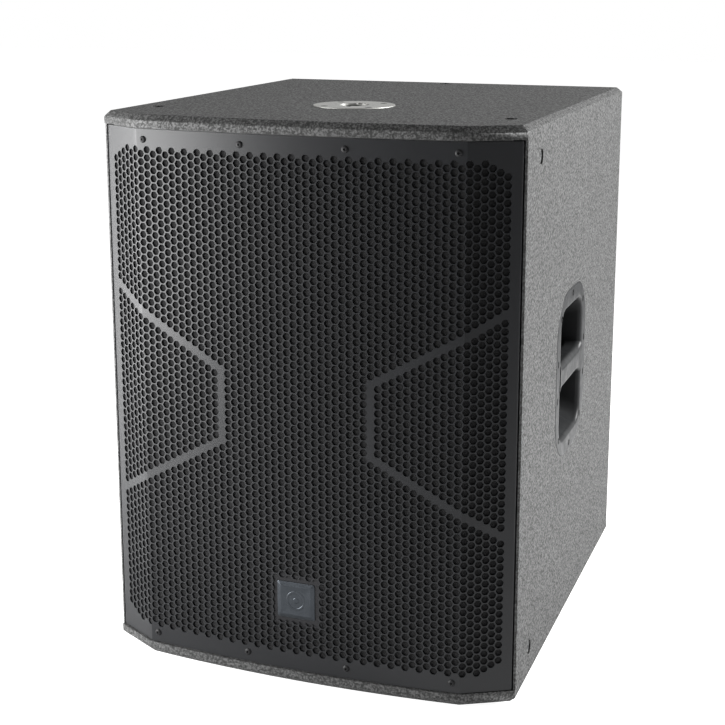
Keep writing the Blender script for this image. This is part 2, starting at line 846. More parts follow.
def hooped(rings):
    """Solid bmesh through rings of points, of which the last joins the first."""
    return bmesh_from(*joined_rings(rings, closed=True))


def together(*parts):
    """One bmesh that holds several."""
    whole = bmesh.new()
    for part in parts:
        mesh = settled("part", part)
        whole.from_mesh(mesh)
        bpy.data.meshes.remove(mesh)
    return whole


def mesh_of(name, work, place=None):
    """Plain mesh from a bmesh, moved to its place, with its faces outwards."""
    if place is not None:
        work.transform(place)
    bmesh.ops.recalc_face_normals(work, faces=work.faces)
    return settled(name, work)


def screw_mesh(name, profile, recess, depth):
    """Screw turned from (radius, height) points in mm, tip first, with a recess in its head."""
    top, taper = profile[-1][1] * MM, 0.9
    floor = [(x * taper, y * taper) for x, y in recess]
    rings = turned_rings(profile) + [level_ring(recess, top), level_ring(floor, top - depth * MM)]
    return mesh_of(name, lofted(rings))


def wood_screw_mesh(name, length):
    """Countersunk screw with a crossed recess; its length is in mm."""
    profile = [(0.4, -length), (1.6, -length + 3), (2.0, -length + 5), (2.0, -2.5), (4.0, -0.35),
               (4.15, -0.1), (4.0, 0.0)]
    return screw_mesh(name, profile, cross(2.3 * MM, 0.55 * MM), 1.2)


def solids_of(node):
    """Lowest and highest corners of the separate solids in a CAD node."""
    work = cad_copy(node)
    left, found = set(work.verts), []
    while left:
        group, edge = set(), [left.pop()]
        while edge:
            vert = edge.pop()
            group.add(vert)
            for link in vert.link_edges:
                other = link.other_vert(vert)
                if other in left:
                    left.remove(other)
                    edge.append(other)
        spots = np.array([v.co for v in group])
        found.append((spots.min(0), spots.max(0)))
    work.free()
    return sorted(found, key=lambda b: tuple(np.round(b[0], 4)))


# ---- curved front ----

def front_stretches(inset, edge_x=None, fold=0.0):
    """Stretches (length, curvature) of the front's line from the middle outwards, inset behind it."""
    bend_r, fold_r = 3.5 * MM, 2.2 * MM
    radius = FRONT_R - inset
    across, away = math.sin(FACET_ANGLE), math.cos(FACET_ANGLE)
    facet_y = BEND_Y + inset / away
    reach = BEND_X * across - (facet_y - (APEX_Y + FRONT_R)) * away
    bend_angle = FACET_ANGLE - math.acos(reach / radius)
    bend = FACET_ANGLE - bend_angle
    cut = bend_r * math.tan(bend / 2)
    facet = ((edge_x or HALF_W) - radius * math.sin(bend_angle)) / away
    stretches = [(radius * bend_angle - cut, 1 / radius), (bend_r * bend, 1 / bend_r)]
    if not fold:
        return stretches + [(facet - cut, 0.0)]
    turn = math.pi / 2 - FACET_ANGLE
    fold_cut = fold_r * math.tan(turn / 2)
    return stretches + [
        (facet - cut - fold_cut, 0.0), (fold_r * turn, 1 / fold_r), (fold / away - fold_cut, 0.0)]


def wrapped(points, stretches, inset):
    """Bends flat points (along the front, depth behind it, height) round the curved front."""
    along, depth, height = np.asarray(points, float).T
    side, left = np.sign(along), np.abs(along)
    x, y, angle = np.zeros_like(left), np.full_like(left, APEX_Y + inset), np.zeros_like(left)
    for i, (length, bend) in enumerate(stretches):
        step = left if i == len(stretches) - 1 else np.minimum(left, length)
        left = left - step
        if bend:
            x += (np.sin(angle + bend * step) - np.sin(angle)) / bend
            y += (np.cos(angle) - np.cos(angle + bend * step)) / bend
            angle = angle + bend * step
        else:
            x += np.cos(angle) * step
            y += np.sin(angle) * step
    x -= depth * np.sin(angle)
    y += depth * np.cos(angle)
    return np.column_stack([side * x, y, height])


def bend_mesh(mesh, stretches, inset):
    """Wraps a whole flat mesh round the front."""
    flat = np.zeros(len(mesh.vertices) * 3)
    mesh.vertices.foreach_get("co", flat)
    mesh.vertices.foreach_set("co", wrapped(flat.reshape(-1, 3), stretches, inset).ravel())
    mesh.update()


def on_front(x, inset, z):
    """Place on the curved front whose +Z looks out of it."""
    angle = math.asin(x / FRONT_R)
    radius = FRONT_R - inset
    at = Vector((radius * math.sin(angle), APEX_Y + FRONT_R - radius * math.cos(angle), z))
    return facing(Vector((math.sin(angle), -math.cos(angle), 0)), at)


# ---- grille ----

GRILLE_INSET = 2 * MM  # the sheet's face behind the box's front line
GRILLE_T = 1.5 * MM
GRILLE_FOLD = 7 * MM
COLUMN_PITCH = 8.19 * MM
ROW_PITCH = 9.24 * MM
HOLE_ACROSS = 8.1 * MM
# Columns count from the middle one to each side. The plain band starts at a row counted from the
# nearer edge, and its upright part is one column.
LATTICE = {"Hole columns": 29, "Hole rows": 62, "Margin columns": 3, "Margin rows": 3,
           "Column pitch": COLUMN_PITCH, "Row pitch": ROW_PITCH, "Band start": 17.5, "Band column": 11.0}
BADGE_LOW, BADGE_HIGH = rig.box("badge_plate")
BADGE_MARGIN = 4.5 * MM
CUT_TOLERANCE = 0.0005 * MM


def cell_outline():
    """Outline of one cell of the lattice: the hexagon midway to its six neighbours."""
    half_up = ROW_PITCH / 2
    tip = (COLUMN_PITCH**2 + half_up**2) / (2 * COLUMN_PITCH)
    shoulder = COLUMN_PITCH - tip
    return [(tip, 0), (shoulder, half_up), (-shoulder, half_up), (-tip, 0),
            (-shoulder, -half_up), (shoulder, -half_up)]


def open_cell():
    """One cell with its rounded hexagonal hole: front, wall and back."""
    outline = cell_outline()
    hole_r = HOLE_ACROSS / 2 / math.cos(math.pi / 6)
    corner = circle(hole_r, 6)
    rounding = 0.2
    ring = []
    for i in range(6):
        for near in (corner[i - 1], corner[(i + 1) % 6]):
            ring.append([c + (n - c) * rounding for c, n in zip(corner[i], near)])
    points = [(x, 0, z) for x, z in outline + ring]
    points += [(x, GRILLE_T, z) for x, z in outline]
    points += [(x * 0.93, GRILLE_T, z * 0.93) for x, z in corner]
    faces = []
    for i in range(6):
        j = (i + 1) % 6
        a, b, c = 6 + 2 * i, 7 + 2 * i, 6 + 2 * j
        back, back_next = 24 + i, 24 + j
        faces += [(i, a, b), (i, b, c, j)]
        faces += [(18 + i, 18 + j, back_next, back)]
        faces += [(a, back, b), (b, back, back_next, c)]
    return points, faces


def plain_cell():
    """One cell without a hole."""
    outline = cell_outline()
    points = [(x, y, z) for y in (0, GRILLE_T) for x, z in outline]
    return points, [tuple(range(6)), tuple(range(11, 5, -1))]


def lattice_tree():
    """Lattice of open and plain cells: a band and the margins stay plain."""
    kinds = {name: type(value).__name__.capitalize() for name, value in LATTICE.items()}
    tree, net, wires = new_tree("lattice", {
        "Open cell": "Object", "Plain cell": "Object", "Finish": "Material", **kinds})
    last = wires["Hole rows"]
    rows = last + 1 + 2 * wires["Margin rows"]
    half_columns = wires["Hole columns"] + wires["Margin columns"]
    index = net.make("GeometryNodeInputIndex")
    column = (index / rows).floor() - half_columns
    away = abs(column)
    row = index % rows - wires["Margin rows"] + away % 2 * 0.5
    near = row.lower(last - row)
    corner_cut = ((away - (wires["Hole columns"] - 3)) * 0.5).higher(0)
    holed = (near > corner_cut - 0.25) * (away < wires["Hole columns"] + 0.5)
    band_row = wires["Band start"] + (wires["Hole columns"] - away) * 0.5
    upright = (near > band_row) * (abs(away - wires["Band column"]) < 0.5)
    slanted = (abs(near - band_row) < 0.25) * (away > wires["Band column"] - 0.5)
    opened = holed * (1 - upright.higher(slanted))
    spot = net.make("ShaderNodeCombineXYZ", {
        "X": column * wires["Column pitch"], "Y": 0.0, "Z": (last * 0.5 - row) * wires["Row pitch"]})
    points = net.make("GeometryNodePoints", {
        "Count": rows * (half_columns * 2 + 1), "Position": spot})
    parts = net.tree.nodes.new("GeometryNodeJoinGeometry")
    for label, chosen in (("Open cell", opened), ("Plain cell", 1 - opened)):
        net.tree.links.new(copies(net, wires[label], points, Selection=chosen).socket, parts.inputs[0])
    close_tree(net, Wire(net, parts.outputs[0]), wires["Finish"])
    return tree


def cut_flat(work, at, direction, drop=True):
    """Cuts a bmesh with a plane; drop clears what lies on the direction's side."""
    everything = list(work.verts) + list(work.edges) + list(work.faces)
    bmesh.ops.bisect_plane(work, geom=everything, dist=CUT_TOLERANCE, plane_co=at, plane_no=direction,
                           clear_outer=drop)


def close_rim(work):
    """Joins the front and back rims of an open sheet with a wall."""
    edges = [e for e in work.edges if e.is_boundary]
    below = {}
    for vert in {v for e in edges for v in e.verts}:
        below[(round(vert.co.x / MM, 3), round(vert.co.z / MM, 3), vert.co.y > GRILLE_T / 2)] = vert
    for edge in edges:
        if all(v.co.y < GRILLE_T / 2 for v in edge.verts):
            a, b = edge.verts
            keys = [(round(v.co.x / MM, 3), round(v.co.z / MM, 3), True) for v in (b, a)]
            if all(k in below for k in keys):
                work.faces.new([a, b, below[keys[0]], below[keys[1]]])


def trim_to_outline(work, stretches):
    """Cuts the flat sheet to its outline, and along the lines where it is going to bend."""
    half_along = sum(length for length, _ in stretches)
    half_height = (GRILLE_HIGH.z - GRILLE_LOW.z) / 2
    tight_bend, steps = 1 / (20 * MM), 4
    for side in (-1, 1):
        cut_flat(work, (side * half_along, 0, 0), (side, 0, 0))
        cut_flat(work, (0, 0, side * half_height), (0, 0, side))
        reached = 0
        for length, bend in stretches[:-1]:
            parts = steps if bend > tight_bend else 1
            for i in range(parts):
                if reached:
                    cut_flat(work, (side * (reached + length * i / parts), 0, 0), (1, 0, 0), False)
            reached += length
        cut_flat(work, (side * reached, 0, 0), (1, 0, 0), False)


def cut_window(work):
    """Cuts the badge's window out of the flat sheet."""
    low, high = BADGE_LOW.z - BADGE_MARGIN - MID_Z, BADGE_HIGH.z + BADGE_MARGIN - MID_Z
    half, around = BADGE_HIGH.x + BADGE_MARGIN, 12 * MM

    def within(face, extra=0.0):
        spot = face.calc_center_median()
        return abs(spot.x) < half + extra and low - extra < spot.z < high + extra

    near = [f for f in work.faces if within(f, around)]
    for at, direction in (((half, 0, 0), (1, 0, 0)), ((-half, 0, 0), (1, 0, 0)),
                          ((0, 0, low), (0, 0, 1)), ((0, 0, high), (0, 0, 1))):
        local = {v for f in near for v in f.verts} | {e for f in near for e in f.edges} | set(near)
        cut = bmesh.ops.bisect_plane(work, geom=list(local), dist=CUT_TOLERANCE, plane_co=at,
                                     plane_no=direction)
        near = [g for g in cut["geom"] if isinstance(g, bmesh.types.BMFace)]
    bmesh.ops.delete(work, geom=[f for f in near if within(f)], context="FACES")


def make_grille():
    """Perforated sheet: grown flat from cells, cut out, then bent round the front."""
    stretches = front_stretches(GRILLE_INSET, GRILLE_HIGH.x, GRILLE_FOLD)
    cells = [new_object(name, mesh_from(name, *cell))
             for name, cell in (("open_cell", open_cell()), ("plain_cell", plain_cell()))]
    flat = grown("grille_sheet", lattice_tree(), {
        "Open cell": cells[0], "Plain cell": cells[1], "Finish": FINISHES["grille_steel"], **LATTICE})
    for cell in cells:
        bpy.data.objects.remove(cell)
    work = bmesh.new()
    work.from_mesh(flat)
    bmesh.ops.remove_doubles(work, verts=work.verts, dist=0.01 * MM)
    trim_to_outline(work, stretches)
    cut_window(work)
    close_rim(work)
    for vert in work.verts:
        vert.co.z += MID_Z
    work.to_mesh(flat)
    work.free()
    bend_mesh(flat, stretches, GRILLE_INSET)
    piece("grille_sheet", flat, "front_grille", angle=48)


def make_foam():
    """Foam sheet with an uneven open face, wrapped behind the grille."""
    low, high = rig.box("grille_foam")
    inset, thick, step = GRILLE_INSET + GRILLE_T + 0.3 * MM, 8 * MM, 4 * MM
    stretches = front_stretches(inset)
    bend_angle = stretches[0][0] * stretches[0][1]
    facet = (high.x - FRONT_R * math.sin(bend_angle)) / math.cos(FACET_ANGLE)
    along = stretches[0][0] + stretches[1][0] + facet
    columns, rows = round(2 * along / step), round((high.z - low.z) / step)
    random = np.random.default_rng(7)
    rough = random.uniform(0.0, 0.5 * MM, (rows + 1, columns + 1))
    front = [((2 * i / columns - 1) * along, rough[j, i], low.z + (high.z - low.z) * j / rows)
             for j in range(rows + 1) for i in range(columns + 1)]
    back = [(x, thick, z) for x, _, z in front]
    count, line = len(front), columns + 1
    faces = [(a, a + 1, a + line + 1, a + line)
             for a in (j * line + i for j in range(rows) for i in range(columns))]
    faces += [tuple(v + count for v in reversed(face)) for face in faces]
    rim = [j * line for j in range(rows)] + [rows * line + i for i in range(columns)]
    rim += [j * line + columns for j in range(rows, 0, -1)] + list(range(columns, 0, -1))
    faces += [(a, a + count, b + count, b) for a, b in zip(rim, rim[1:] + rim[:1])]
    mesh = mesh_of("grille_foam_sheet", bmesh_from(front + back, faces))
    bend_mesh(mesh, stretches, inset)
    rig.padded(piece("grille_foam_sheet", mesh, "grille_foam", angle=80), fill=0.5)


make_grille()
make_foam()


# ---- wooden panels ----

def bevel_rim(middle):
    """Whether an edge's middle lies on the bevelled rim of the top or bottom panel."""
    beyond_sides, rim_width, half_depth = 5 * MM, 20 * MM, 200 * MM
    outer = middle.z > SIDE_HIGH.z + beyond_sides or middle.z < SIDE_LOW.z - beyond_sides
    central = abs(middle.x) < HALF_W - rim_width and abs(middle.y - (APEX_Y + BACK_Y) / 2) < half_depth
    return outer and not central


def outer_corner(edge):
    """Upright corners at the back of the cabinet and the rims of the bevels."""
    a, b = (v.co for v in edge.verts)
    middle = (a + b) / 2
    upright = abs(a.x - b.x) + abs(a.y - b.y) < 0.01 * MM
    behind = middle.y > BACK_Y - 0.5 * MM and abs(middle.x) > HALF_W - 0.5 * MM
    return sharp(20)(edge) and ((upright and behind) or bevel_rim(middle))


for board in ("top_panel", "bottom_panel", "left_side_panel", "right_side_panel"):
    softened(board, 1.6, outer_corner, segments=3)
for board in ("rear_panel", "front_baffle", "port_shelf", "window_brace", "glue_cleats", "grille_battens"):
    softened(board, 0.5, segments=1)


# ---- side handles ----

HANDLE_LOW, HANDLE_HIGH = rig.box("right_handle")
HANDLE_HALF = ((HANDLE_HIGH.y - HANDLE_LOW.y) / 2, (HANDLE_HIGH.z - HANDLE_LOW.z) / 2)
HANDLE_Z = (HANDLE_LOW.z + HANDLE_HIGH.z) / 2
HANDLE_CORNER = 58 * MM
GRIP_HALF = (58 * MM, 80.5 * MM)
GRIP_CORNER = 22 * MM
GRIP_DEPTH = 62 * MM
BAR_HALF = 15.5 * MM
BAR_DEPTH = 26 * MM
PROUD = 0.5 * MM


def on_side(side, y=0.0, z=0.0, out=0.0):
    """Place on a side panel: +X towards the back, +Y up, +Z outwards."""
    turn = Matrix(((0, 0, side), (side, 0, 0), (0, 1, 0))).to_4x4()
    return Matrix.Translation((side * (HALF_W + out), y, z)) @ turn


def handle_shell():
    """Moulded tray: outer shell, flange, rolled lip and scooped pocket."""
    hu, hv = HANDLE_HALF
    gu, gv = GRIP_HALF
    wall, flange_t, base_r = 3 * MM, 2 * MM, 4 * MM
    tray_depth = HANDLE_HIGH.x - HANDLE_LOW.x - PROUD
    tray = (gu + wall, gv + wall, GRIP_CORNER + wall)
    rings = [(*(size - base_r for size in tray), -tray_depth), (*tray, -tray_depth + base_r),
             (*tray, -flange_t), (hu, hv, HANDLE_CORNER, -flange_t)]
    for back, out in ((0, -0.3), (0.25, 0.15), (0.9, 0.42), (2.0, 0.5), (12.0, 0.5)):
        rings.append((hu - back * MM, hv - back * MM, HANDLE_CORNER - back * MM * 0.8, out * MM))
    for wider, out in ((5.0, 0.35), (3.4, -0.2), (2.0, -1.2), (0.9, -2.9), (0.25, -5.2)):
        rings.append((gu + wider * MM, gv + wider * MM, GRIP_CORNER + wider * MM, out * MM))
    scoop_u, scoop_v, start, steps = 9 * MM, 42 * MM, 6 * MM, 10
    for i in range(steps + 1):
        angle = i / steps * math.pi / 2
        inward = (1 - math.cos(angle) + math.sin(angle)) / 2
        depth = start + (GRIP_DEPTH - start) * math.sin(angle)
        rings.append((gu - scoop_u * inward, gv - scoop_v * inward, GRIP_CORNER * (1 - 0.3 * inward),
                      -depth))
    rings.append((gu * 0.45, gv * 0.25, GRIP_CORNER * 0.5, -GRIP_DEPTH))
    return lofted([level_ring(rounded_ring(u, v, min(corner, u * 0.98, v * 0.98)), w)
                   for u, v, corner, w in rings])


def handle_bar():
    """Bar across the pocket: crowned face, rounded edges and ends that flare into the lip."""
    reach = GRIP_HALF[0] + 2.5 * MM
    flare_l, crown, edge_r, steps = 16 * MM, 0.9 * MM, 7.5 * MM, 24
    rings = []
    for i in range(steps + 1):
        u = reach * (2 * i / steps - 1)
        flare = max(0.0, (abs(u) - (reach - flare_l)) / flare_l) ** 2
        half = BAR_HALF + 7 * MM * flare
        depth = BAR_DEPTH / 2 + 1.5 * MM * flare
        middle = PROUD - 0.25 * MM - BAR_DEPTH / 2 - 0.5 * MM * flare
        rings.append([(u, v, w + middle - crown * (v / half) ** 2 * (w > 0))
                      for v, w in rounded_ring(half, depth, edge_r, 6)])
    return lofted(rings)


def handle_screw_places():
    """Places of the ten screws in one flange."""
    hu, hv = HANDLE_HALF
    spots = [(0, hv - 8.5 * MM), (hu - 20.5 * MM, hv - 28.5 * MM), (hu - 8.5 * MM, 23 * MM)]
    return [(u * x, v * z) for x, z in spots for u in (1, -1) for v in (1, -1) if x or u > 0]


for side, node in ((1, "right_handle"), (-1, "left_handle")):
    handle = together(handle_shell(), handle_bar())
    piece(node + "_moulded", mesh_of(node, handle, on_side(side, 0, HANDLE_Z)), node, angle=50)


# ---- screws and other repeated fittings ----

SCREW_X = 61.5 * MM
SCREW_INSET = 11.7 * MM
POLE_LOW, POLE_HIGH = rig.box("pole_socket")
POLE_Y = (POLE_LOW.y + POLE_HIGH.y) / 2
POLE_SCREW_R = 39 * MM
BOX_H = 652 * MM
RIG_EDGE = 36 * MM


def make_screws():
    """Button-head screws of the grille, and the countersunk ones of the handles and the pole socket."""
    button = screw_mesh("grille_screw", [
        (0.6, -14), (2.0, -12.5), (2.0, 0.0), (3.9, 0.0), (4.0, 0.35), (3.6, 1.0), (2.9, 1.6),
        (2.3, 1.88), (1.9, 1.9)], hexagon(1.5 * MM), 1.3)
    places = [on_front(x * SCREW_X, GRILLE_INSET, z) for x in (-3, -1, 1, 3)
              for z in (GRILLE_LOW.z + SCREW_INSET, GRILLE_HIGH.z - SCREW_INSET)]
    fittings("grille_screws_set", button, places, "grille_screws")
    wood = wood_screw_mesh("flange_screw", 13)
    places = [on_side(side, u, HANDLE_Z + v, PROUD) for side in (-1, 1) for u, v in handle_screw_places()]
    fittings("handle_screws_set", wood, places, "handle_screws")
    spots = [polar(POLE_SCREW_R, math.pi * (0.25 + i / 2)) for i in range(4)]
    places = [Matrix.Translation((x, POLE_Y + y, POLE_HIGH.z)) for x, y in spots]
    fittings("pole_screws_set", wood, places, "pole_socket_screws")


def rig_places():
    """The three points of the top and the two of each side."""
    rig_y = BEND_Y + 94 * MM
    places = [Matrix.Translation((x * (HALF_W - RIG_EDGE), rig_y, TOP_Z)) for x in (-1, 1)]
    places.append(Matrix.Translation((0, BACK_Y - RIG_EDGE + 9 * MM, TOP_Z)))
    inset = RIG_EDGE + 3.5 * MM
    heights = (TOP_Z - BOX_H + inset, TOP_Z - inset)
    return places + [on_side(side, rig_y, z) for side in (-1, 1) for z in heights]


def make_inserts():
    """Flanged bushes with a cut thread."""
    profile = [(6.4, -14.5), (6.6, -14.2), (6.6, -4.0), (8.4, -4.0), (8.6, -3.8), (8.6, -2.25),
               (8.3, -2.0), (6.2, -2.0), (5.6, -2.3)]
    for i in range(7):
        profile += [(5.0, -2.9 - 1.5 * i), (5.55, -3.65 - 1.5 * i)]
    profile += [(5.0, -13.0), (0.5, -13.0)]
    shape = mesh_of("insert", lofted(turned_rings(profile, 32)))
    fittings("rigging_inserts_cut", shape, rig_places(), "rigging_inserts")


def make_feet():
    """Rubber feet with a rounded tread, and their screws."""
    r, h = 19, 8
    profile = [(2.5, 0), (r, 0), (r, -1.2), (r - 1.0, -h + 2.2), (r - 1.5, -h + 0.9), (r - 2.6, -h + 0.2),
               (r - 4.0, -h), (8.6, -h), (8.0, -h + 0.5), (5.6, -h + 0.9), (5.3, -h + 1.6), (5.3, -3.6),
               (2.5, -3.6)]
    shape = mesh_of("foot", hooped(turned_rings(profile, 48)))
    spots = [((low[0] + high[0]) / 2, (low[1] + high[1]) / 2, high[2])
             for low, high in solids_of("rubber_feet")]
    fittings("rubber_feet_set", shape, [Matrix.Translation(spot) for spot in spots], "rubber_feet")
    screw = wood_screw_mesh("foot_screw", 14)
    down = Matrix.Rotation(math.pi, 4, "X")
    places = [Matrix.Translation((x, y, z - 3 * MM)) @ down for x, y, z in spots]
    fittings("foot_screws_set", screw, places, "foot_screws")


make_screws()
make_inserts()
make_feet()
softened("pole_socket", 0.45)


# ---- badge ----

def make_badge():
    """Plate with a raised bevelled border, a dished face and a plain ring as its emblem."""
    half_u, half_v = (BADGE_HIGH.x - BADGE_LOW.x) / 2, (BADGE_HIGH.z - BADGE_LOW.z) / 2
    thick = BADGE_HIGH.y - BADGE_LOW.y
    plate = lofted([
        level_ring(rounded_ring(half_u - back * MM, half_v - back * MM, corner * MM, 4), share * thick)
        for back, share, corner in ((0, 0, 2.4), (0, 0.3, 2.4), (0.5, 0.42, 2.2), (4.2, 0.84, 1.2),
                                    (4.7, 0.88, 1.0), (5.2, 0.86, 1.0), (9.0, 0.7, 1.0), (15.0, 0.6, 1.0))])
    emblem = hooped(turned_rings([(8.9, 0.9), (9.0, 1.5), (9.4, 1.85), (10.5, 1.95), (11.6, 1.85),
                                  (12.0, 1.5), (12.1, 0.9)], 64))
    boss = lofted(turned_rings([(3.4, 0.9), (3.4, 1.5), (3.0, 1.8), (1.6, 1.95)], 32))
    place = facing(Vector((0, -1, 0)), Vector((0, BADGE_HIGH.y, (BADGE_LOW.z + BADGE_HIGH.z) / 2)))
    piece("badge", mesh_of("badge", together(plate, emblem, boss), place), "badge_plate", angle=30)


make_badge()
softened("badge_backing", 0.3)


# ---- woofer ----

BAFFLE_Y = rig.box("front_baffle")[0].y
BASKET_LOW, BASKET_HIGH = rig.box("woofer_basket")
WOOFER = facing(Vector((0, -1, 0)), Vector((0, BAFFLE_Y, (BASKET_LOW.z + BASKET_HIGH.z) / 2)))

# Radii and heights above the baffle, in mm.
RIM_T = 8
ROLL_OUT, CONE_EDGE = 212, 190
NECK_Z = -95
FORMER_R = 49.9
SPIDER_Z = -112
SPIDER_R = 97.3
BOLT_R = 221
CAP_R, CAP_H = 85, 30


def turned(name, profile, node, angle=35):
    """Closed ring turned about the woofer's axis from (radius, height) points in mm."""
    return piece(name, mesh_of(name, hooped(turned_rings(profile, 128)), WOOFER), node, angle=angle)


def flex(thing, outer, inner):
    """Bends a ring between the cabinet and the cone by its distance from the axis (mm)."""
    centre = WOOFER.translation
    thing.parent = None
    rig.blend(thing, "cabinet", "cone_assembly", start=(outer * MM, centre.y, centre.z),
             end=(inner * MM, centre.y, centre.z))
    spots = np.array([v.co for v in thing.data.vertices])
    reach = np.hypot(spots[:, 0] - centre.x, spots[:, 2] - centre.z) / MM
    share = np.clip((outer - reach) / (outer - inner), 0, 1)
    weights = (share * share * (3 - 2 * share)).astype(np.float32)
    thing.data.attributes["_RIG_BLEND"].data.foreach_set("value", weights)


def arc(centre, radius, first, last, steps):
    """(radius, height) points of an arc about a centre, between two angles."""
    turns = [first + (last - first) * i / steps for i in range(steps + 1)]
    return [(centre[0] + radius * math.cos(a), centre[1] + radius * math.sin(a)) for a in turns]


def make_surround():
    """Half-roll rubber edge."""
    roll, middle = (ROLL_OUT - CONE_EDGE) / 2 - 1, (ROLL_OUT + CONE_EDGE) / 2
    low, high = RIM_T + 0.1, RIM_T + 0.9
    outside = arc((middle, RIM_T), roll, 0, math.pi, 16)
    inside = arc((middle, RIM_T), roll - 1, math.pi, 0, 16)
    profile = [(ROLL_OUT + 3.4, low), (ROLL_OUT + 3.4, high), (middle + roll + 0.8, high),
               *outside[1:-1], (middle - roll - 0.8, high), (CONE_EDGE + 0.3, high),
               (CONE_EDGE + 0.3, low), *inside]
    flex(turned("surround_roll", profile, "surround"), middle + roll, middle - roll)


def make_spider():
    """Corrugated cloth disc."""
    inner, outer, waves, steps, cloth_t = FORMER_R + 1.3, SPIDER_R, 5, 60, 0.7
    wave = [(inner + 3 + (outer - inner - 6) * i / steps, 1.6 * math.sin(math.tau * waves * i / steps))
            for i in range(steps + 1)]
    profile = [(inner, 0), *wave, (outer, 0), (outer, cloth_t)]
    profile += [(r, z + cloth_t) for r, z in wave[::-1]] + [(inner, cloth_t)]
    flex(turned("spider_disc", [(r, z + SPIDER_Z) for r, z in profile], "spider"), outer - 4, inner + 4)


def make_cone():
    """Paper cone with pressed stiffening rings, and its dust cap."""
    start, end = (FORMER_R + 0.7, NECK_Z + 2), (CONE_EDGE - 5, RIM_T + 1)
    rise, run, steps = end[1] - start[1], end[0] - start[0], 60
    profile = []
    for i in range(steps + 1):
        t = i / steps
        ring = 0.55 * max(0.0, math.sin(math.tau * 5 * t)) ** 4
        profile.append((start[0] + run * t, start[1] + rise * t + ring - 0.6 * (0 < i < steps)))
    profile += [(CONE_EDGE - 0.3, RIM_T + 0.9), (CONE_EDGE, RIM_T), (CONE_EDGE - 0.3, RIM_T - 0.9),
                (CONE_EDGE - 4, RIM_T - 1), (FORMER_R + 1.3, NECK_Z)]
    turned("cone_pressed", profile, "cone")
    cap_z = start[1] + rise / run * (CAP_R - start[0]) + 0.7
    dome_r = (CAP_R**2 + CAP_H**2) / (2 * CAP_H)
    span = math.asin(CAP_R / dome_r)
    outside = arc((0, cap_z + CAP_H - dome_r), dome_r, math.pi / 2 - span, math.pi / 2, 20)
    inside = [(max(r - 0.4, 0.05), z - 1.1) for r, z in outside[::-1]]
    inside[-1] = (CAP_R - 1.4, cap_z + 0.05)
    outside[-1] = (0.05, outside[-1][1])
    turned("dust_cap_dome", outside + inside, "dust_cap", angle=50)


def soft_ring(name, node, low, high, inner, outer):
    """Foam gasket ring with rounded edges."""
    r = 0.8
    profile = [(inner + r, low), (outer - r, low), (outer, low + r), (outer, high - r), (outer - r, high),
               (inner + r, high), (inner, high - r), (inner, low + r)]
    turned(name, profile, node)


def make_bolts():
    """Socket-head bolts round the rim."""
    bolt = screw_mesh("rim_bolt", [
        (2.4, -21), (3.0, -20), (3.0, 8.0), (4.7, 8.0), (5.0, 8.4), (5.0, 13.2), (4.6, 13.9), (4.0, 14.0)],
        hexagon(2.5 * MM), 3.4)
    spots = [polar(BOLT_R * MM, (i + 0.5) * math.tau / 8) for i in range(8)]
    places = [WOOFER @ Matrix.Translation((x, y, 0)) for x, y in spots]
    fittings("woofer_bolts_set", bolt, places, "woofer_bolts")


make_surround()
make_spider()
make_cone()
soft_ring("woofer_gasket_ring", "woofer_gasket", RIM_T + 1, RIM_T + 4, ROLL_OUT, ROLL_OUT + 3.5)
make_bolts()
softened("woofer_basket", 0.8)
for metal in ("front_plate", "magnet", "back_plate", "woofer_tnuts", "woofer_terminals"):
    softened(metal, 0.5)


# ---- damping pads ----

def make_wadding():
    """Fleece pads with soft edges and an uneven, tufted face."""
    parts = []
    random = np.random.default_rng(11)
    for low, high in solids_of("wadding"):
        size, middle = high - low, (low + high) / 2
        thin, wide, long = np.argsort(size)
        half_w, half_t = size[wide] / 2, size[thin] / 2
        count = int(size[long] / (22 * MM))
        bumps = random.uniform(0, 1, (count + 1, 28))
        rings = []
        for i in range(count + 1):
            share = i / count
            end = min(1.0, math.sqrt(max(0.0, 1 - (2 * share - 1) ** 12)) + 0.25)
            corner = min(8 * MM, half_t * end * 0.95)
            ring = []
            for j, (w, t) in enumerate(rounded_ring(half_w * (0.97 + 0.03 * end), half_t * end, corner, 6)):
                spot = np.zeros(3)
                spot[long] = low[long] + size[long] * share
                spot[wide] = middle[wide] + w * (1 - 0.02 * bumps[i, j])
                spot[thin] = middle[thin] + t * (1 - 0.14 * bumps[i, j])
                ring.append(tuple(spot))
            rings.append(ring)
        parts.append(lofted(rings))
    pads = piece("wadding_pads", mesh_of("wadding_pads", together(*parts)), "wadding", angle=80)
    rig.padded(pads, fill=0.4)


make_wadding()


# ---- amplifier ----

AMP_LOW, AMP_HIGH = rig.box("amp_panel")
AMP_Z = (AMP_LOW.z + AMP_HIGH.z) / 2
LEVEL_X, CROSSOVER_X = 5 * MM, 50 * MM
KNOB_Z = AMP_Z - 45 * MM
KNOB_R = 9
FLUTES = 18
DIAL_TICKS = 11
TICK_STEP = 30
TICK_R = 12.6 * MM


def on_amp(x, z):
    """Place on the amplifier's outer face: +Z outwards, +Y down."""
    turn = Matrix(((1, 0, 0), (0, 0, 1), (0, -1, 0))).to_4x4()
    return Matrix.Translation((x, AMP_HIGH.y, z)) @ turn


